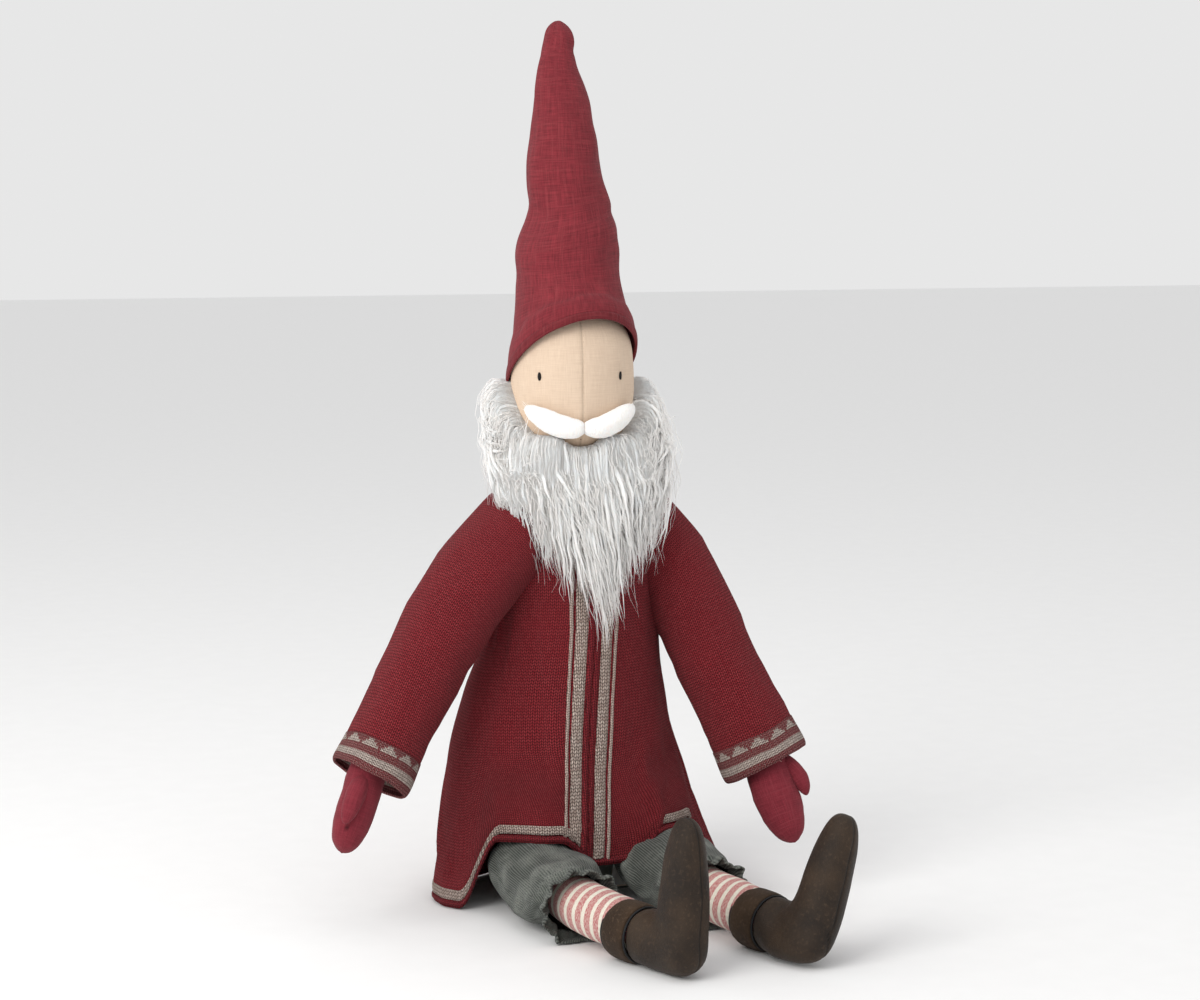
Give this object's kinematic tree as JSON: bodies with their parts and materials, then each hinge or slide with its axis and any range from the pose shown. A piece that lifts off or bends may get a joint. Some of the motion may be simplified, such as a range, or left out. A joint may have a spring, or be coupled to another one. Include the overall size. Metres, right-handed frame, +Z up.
{
  "type": "tomte gnome figurine",
  "caption": "Seated stuffed cloth gnome with a tall pointed hat, wool beard, knitted jacket, knickerbockers and pointed boots, jointed at shoulders and hips.",
  "frame": {"origin": "centre of the flat seat, on the surface that the gnome sits on", "axes": "+Z up through the hat, -Y the way the gnome looks, +X the gnome's left"},
  "size_m": [0.3944, 0.3438, 0.679],
  "materials": {
    "hat_linen": "slubby plain-weave linen",
    "face_cotton": "fine plain cotton",
    "body_cotton": "plain cotton",
    "white_wool": "combed and felted wool",
    "red_knit": "stocking-stitch wool",
    "nordic_knit": "patterned wool rib",
    "mitten_cotton": "plain cotton",
    "corduroy": "fine corduroy",
    "striped_sock": "striped cotton",
    "boot_leather": "oiled, worn",
    "suede": "suede",
    "black_cord": "waxed cord",
    "black_thread": "embroidery thread",
    "wine_thread": "embroidery thread",
    "elastic": "woven elastic",
    "filling": "loose polyester fibre and pellets"
  },
  "bodies": {
    "torso": {"body_cover": "body_cotton", "body_stuffing": "filling", "seat_pellet_bag": "filling", "trousers_seat": "corduroy", "waist_elastic": "elastic", "head_cover_left": "face_cotton", "head_cover_right": "face_cotton", "head_stuffing": "filling", "left_eye": "black_thread", "right_eye": "black_thread", "mouth_stitch": "wine_thread", "moustache_left": "white_wool", "moustache_right": "white_wool", "beard": "white_wool", "hat_cover": "hat_linen", "hat_hem": "hat_linen", "hat_stuffing": "filling", "jacket_hem": "nordic_knit", "jacket_back": "red_knit", "jacket_front_left": "red_knit", "jacket_front_right": "red_knit", "front_band_left": "nordic_knit", "front_band_right": "nordic_knit", "jacket_collar": "nordic_knit"},
    "left_arm": {"left_sleeve": "red_knit", "left_cuff_band": "nordic_knit", "left_arm_cover": "body_cotton", "left_arm_stuffing": "filling", "left_mitten_palm": "mitten_cotton", "left_mitten_back": "mitten_cotton", "left_mitten_stuffing": "filling"},
    "left_leg": {"left_leg_cover": "striped_sock", "left_leg_stuffing": "filling", "left_trouser_leg": "corduroy", "left_trouser_elastic": "elastic", "left_boot_left_half": "boot_leather", "left_boot_right_half": "boot_leather", "left_boot_cuff": "suede", "left_boot_cord": "black_cord", "left_boot_stuffing": "filling"},
    "right_arm": {"right_sleeve": "red_knit", "right_cuff_band": "nordic_knit", "right_arm_cover": "body_cotton", "right_arm_stuffing": "filling", "right_mitten_palm": "mitten_cotton", "right_mitten_back": "mitten_cotton", "right_mitten_stuffing": "filling"},
    "right_leg": {"right_leg_cover": "striped_sock", "right_leg_stuffing": "filling", "right_trouser_leg": "corduroy", "right_trouser_elastic": "elastic", "right_boot_left_half": "boot_leather", "right_boot_right_half": "boot_leather", "right_boot_cuff": "suede", "right_boot_cord": "black_cord", "right_boot_stuffing": "filling"}
  },
  "joints": [
    {"name": "left_shoulder", "type": "hinge", "parent": "torso", "child": "left_arm", "pos_m": [0.062, -0.008, 0.288], "axis": [-1, 0, 0], "range_deg": [-12, 60]},
    {"name": "right_shoulder", "type": "hinge", "parent": "torso", "child": "right_arm", "pos_m": [-0.062, -0.008, 0.288], "axis": [-1, 0, 0], "range_deg": [-30, 60]},
    {"name": "left_hip", "type": "hinge", "parent": "torso", "child": "left_leg", "pos_m": [0.05, -0.048, 0.034], "axis": [1, 0, 0], "range_deg": [0, 85]},
    {"name": "right_hip", "type": "hinge", "parent": "torso", "child": "right_leg", "pos_m": [-0.05, -0.038, 0.034], "axis": [1, 0, 0], "range_deg": [0, 85]}
  ]
}
